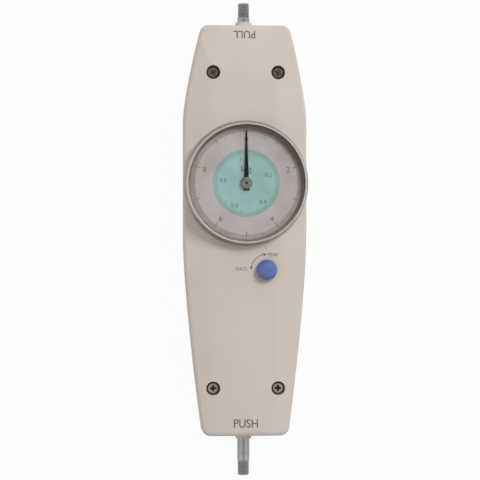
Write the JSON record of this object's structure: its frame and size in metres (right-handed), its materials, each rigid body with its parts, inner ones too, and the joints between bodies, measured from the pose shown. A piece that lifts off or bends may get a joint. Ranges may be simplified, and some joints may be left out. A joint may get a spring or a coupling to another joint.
{
  "type": "mechanical force gauge",
  "caption": "Mechanical push-pull force gauge: beige tapering casing with a round dial, turning bezel, peak-hold knob and a threaded shaft end at top and bottom.",
  "frame": {"origin": "centre of the flat rear face, under the axis of the measuring shaft", "axes": "+Z out of the dial, +Y along the measuring shaft towards the pull end, +X to the right as the dial is read"},
  "size_m": [0.06, 0.2297, 0.05],
  "materials": {
    "casing_paint": "beige baked enamel on die-cast aluminium, fine orange peel",
    "bezel_metal": "satin-turned nickel-plated brass",
    "screw_steel": "dark nickel",
    "shaft_steel": "ground stainless steel",
    "chassis_steel": "zinc-plated sheet",
    "movement_brass": "machined",
    "lens_clear": "clear acrylic, polished",
    "dial_print": "printed card-white enamel",
    "spacer_dark": "matt",
    "pointer_black": "matt black",
    "hub_metal": "turned",
    "knob_blue": "moulded, semi-gloss",
    "spring_steel": "music wire",
    "rubber_black": "matt",
    "felt_grey": "felt",
    "cork": "cork"
  },
  "bodies": {
    "casing": {"front_casing": "casing_paint", "rear_casing": "casing_paint", "casing_screws": "screw_steel", "chassis": "chassis_steel", "chassis_screws": "screw_steel", "bracket_screws": "screw_steel", "upper_bush": "movement_brass", "lower_bush": "movement_brass", "upper_seal": "felt_grey", "lower_seal": "felt_grey", "measuring_spring": "spring_steel", "spring_bracket": "chassis_steel", "stop_bracket": "chassis_steel", "stop_washer": "rubber_black", "movement_base_plate": "movement_brass", "movement_top_plate": "movement_brass", "chassis_pillars": "movement_brass", "plate_pillars": "movement_brass", "plate_screws": "screw_steel", "bezel_snap_ring": "spring_steel", "knob_bush": "movement_brass", "lever_stud": "shaft_steel"},
    "shaft": {"pull_rod": "shaft_steel", "push_rod": "shaft_steel", "carriage": "movement_brass", "guide_pin": "shaft_steel", "rack": "movement_brass", "rack_posts": "shaft_steel", "spring_collar": "shaft_steel", "overload_sleeve": "shaft_steel"},
    "transfer": {"transfer_arbor": "shaft_steel", "rack_pinion": "movement_brass", "transfer_wheel": "movement_brass"},
    "pointer_arbor": {"centre_arbor": "shaft_steel", "centre_pinion": "movement_brass", "brake_drum": "movement_brass", "pointer": "pointer_black", "pointer_hub": "hub_metal"},
    "bezel": {"bezel_ring": "bezel_metal", "dial_plate": "dial_print", "dial_spacer": "spacer_dark", "lens": "lens_clear"},
    "knob": {"knob_cap": "knob_blue", "knob_spindle": "shaft_steel", "knob_clip": "spring_steel"},
    "brake_lever": {"peak_lever": "chassis_steel", "brake_pad": "cork"}
  },
  "joints": [
    {"name": "shaft_slide", "type": "slide", "parent": "casing", "child": "shaft", "axis": [0, 1, 0], "range_m": [0, 0.01], "stiffness_N_per_m": 1000, "springref_m": -0.0005, "deforming": ["measuring_spring"]},
    {"name": "transfer_spin", "type": "hinge", "parent": "casing", "child": "transfer", "pos_m": [0, 0.0045, 0.0335], "axis": [0, 0, 1], "range_deg": [-5, 185]},
    {"name": "pointer_spin", "type": "hinge", "parent": "casing", "child": "pointer_arbor", "pos_m": [0, 0.0225, 0.0335], "axis": [0, 0, 1], "range_deg": [-365, 5]},
    {"name": "bezel_turn", "type": "hinge", "parent": "casing", "child": "bezel", "pos_m": [0, 0.0225, 0.0435], "axis": [0, 0, 1], "continuous": true},
    {"name": "knob_turn", "type": "hinge", "parent": "casing", "child": "knob", "pos_m": [0.01, -0.019, 0.0425], "axis": [0, 0, 1], "range_deg": [-90, 0]},
    {"name": "lever_swing", "type": "hinge", "parent": "casing", "child": "brake_lever", "pos_m": [0.0145, 0.005, 0.0356], "axis": [0, 0, 1], "range_deg": [-1, 4]}
  ],
  "couplings": [
    {"joint": "transfer_spin", "follows": "shaft_slide", "rad_per_m": 314.16},
    {"joint": "pointer_spin", "follows": "shaft_slide", "rad_per_m": -628.32},
    {"joint": "lever_swing", "follows": "knob_turn", "ratio": -0.033333}
  ]
}
